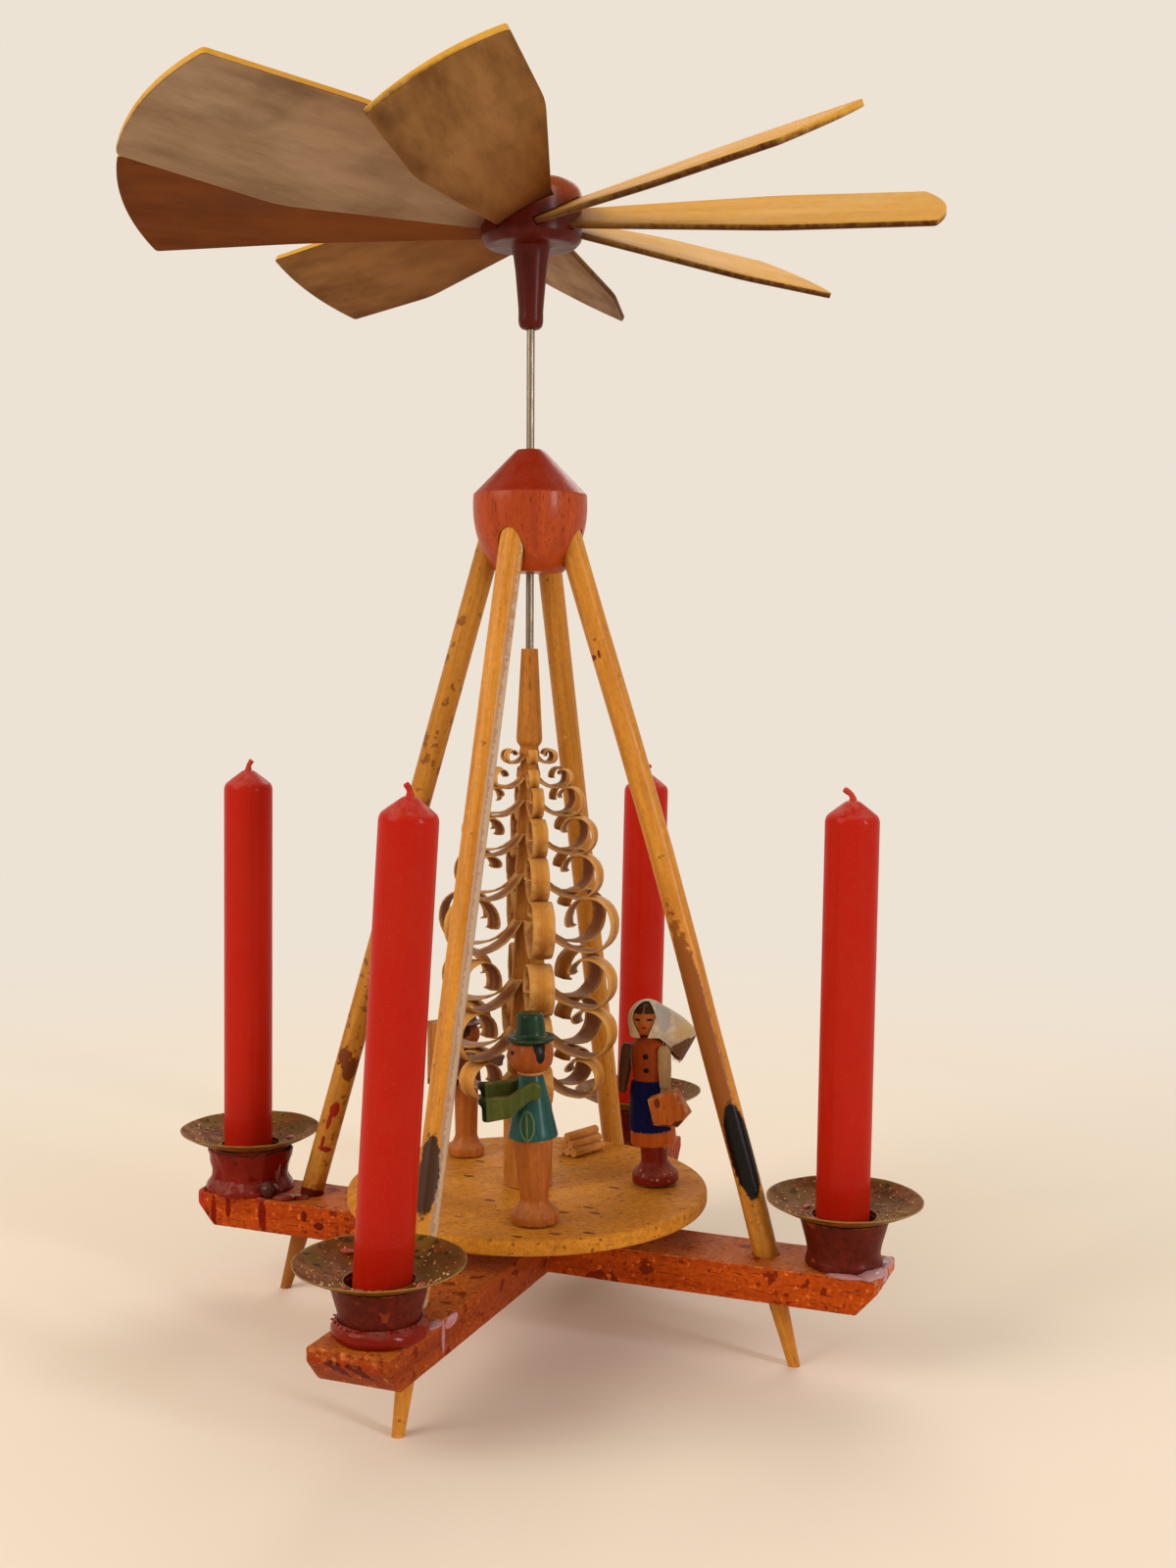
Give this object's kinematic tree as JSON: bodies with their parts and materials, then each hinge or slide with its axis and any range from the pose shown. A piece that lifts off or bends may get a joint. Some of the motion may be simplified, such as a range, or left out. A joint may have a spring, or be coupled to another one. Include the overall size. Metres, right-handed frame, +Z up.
{
  "type": "christmas pyramid",
  "caption": "Candle-driven carousel: splayed legs hold a spindle with a slanted-blade fan above a turntable with figures and a shaved-wood tree, on a cross base with candle cups.",
  "frame": {"origin": "middle of the footprint on the table, under the spindle", "axes": "+Z up along the spindle, -Y towards the front arm of the base cross, +X towards the right arm"},
  "size_m": [0.2042, 0.2035, 0.2963],
  "materials": {
    "stained_wood": "red-brown stained beech, worn satin varnish",
    "honey_wood": "honey-yellow lacquered beech, satin",
    "blade_wood": "thin pale wood, sooty undersides, matt",
    "carved_wood": "bare lime wood turned dark with age, matt",
    "steel": "drawn steel wire, bright",
    "old_brass": "thin tarnished brass with wax crumbs",
    "red_wax": "red candle wax, satin",
    "dipped_wick": "cotton wick dipped in wax",
    "green_lacquer": "wood under glossy dark green lacquer",
    "olive_paint": "wood under matt olive paint",
    "face_wood": "varnished wood with a painted face",
    "leg_wood": "varnished turned wood",
    "maroon_paint": "wood under maroon paint with dust",
    "bodice_paint": "wood under brown and navy paint",
    "scarf_cloth": "thin off-white cloth, frayed hem",
    "sleeve_paint": "wood under off-white paint",
    "grey_paint": "wood under mauve-grey paint",
    "basket_wood": "bare carved wood",
    "bark": "split twigs with bark"
  },
  "bodies": {
    "stand": {"base_bar_left_right": "stained_wood", "base_bar_front_back": "stained_wood", "pivot_bearing": "old_brass", "apex_ball": "stained_wood", "leg_front": "honey_wood", "leg_right": "honey_wood", "leg_back": "honey_wood", "leg_left": "honey_wood", "candle_cup_front": "stained_wood", "candle_cup_right": "stained_wood", "candle_cup_back": "stained_wood", "candle_cup_left": "stained_wood", "drip_tray_front": "old_brass", "drip_tray_right": "old_brass", "drip_tray_back": "old_brass", "drip_tray_left": "old_brass"},
    "rotor": {"wind_shaft": "steel", "pivot_pin": "steel", "fan_hub": "stained_wood", "fan_blade_1": "blade_wood", "fan_blade_2": "blade_wood", "fan_blade_3": "blade_wood", "fan_blade_4": "blade_wood", "fan_blade_5": "blade_wood", "fan_blade_6": "blade_wood", "fan_blade_7": "blade_wood", "fan_blade_8": "blade_wood", "turntable_disc": "honey_wood", "shaved_tree": "carved_wood", "log_stack": "bark", "carrier_arm_left": "grey_paint", "carrier_arm_right": "grey_paint", "carrier_coat": "maroon_paint", "carrier_hat": "grey_paint", "carrier_head": "face_wood", "carrier_legs": "leg_wood", "carrier_pannier": "basket_wood", "forester_arm_left": "olive_paint", "forester_arm_right": "olive_paint", "forester_coat": "green_lacquer", "forester_hat": "green_lacquer", "forester_head": "face_wood", "forester_legs": "leg_wood", "woman_arm_left": "sleeve_paint", "woman_arm_right": "bodice_paint", "woman_basket": "basket_wood", "woman_body": "bodice_paint", "woman_head": "face_wood", "woman_headscarf": "scarf_cloth", "woman_legs": "maroon_paint"},
    "taper_front": {"candle_front": "red_wax", "wick_front": "dipped_wick"},
    "taper_right": {"candle_right": "red_wax", "wick_right": "dipped_wick"},
    "taper_back": {"candle_back": "red_wax", "wick_back": "dipped_wick"},
    "taper_left": {"candle_left": "red_wax", "wick_left": "dipped_wick"}
  },
  "joints": [
    {"name": "rotor_spin", "type": "hinge", "parent": "stand", "child": "rotor", "pos_m": [0, 0, 0.0298], "axis": [0, 0, 1], "continuous": true},
    {"name": "candle_lift_front", "type": "slide", "parent": "stand", "child": "taper_front", "axis": [0.0528, 0.0229, 0.9983], "range_m": [0, 0.02]},
    {"name": "candle_lift_right", "type": "slide", "parent": "stand", "child": "taper_right", "axis": [0.008, 0.0035, 1], "range_m": [0, 0.02]},
    {"name": "candle_lift_back", "type": "slide", "parent": "stand", "child": "taper_back", "axis": [0.016, 0.0069, 0.9998], "range_m": [0, 0.02]},
    {"name": "candle_lift_left", "type": "slide", "parent": "stand", "child": "taper_left", "axis": [0.0072, 0.0031, 1], "range_m": [0, 0.02]}
  ]
}
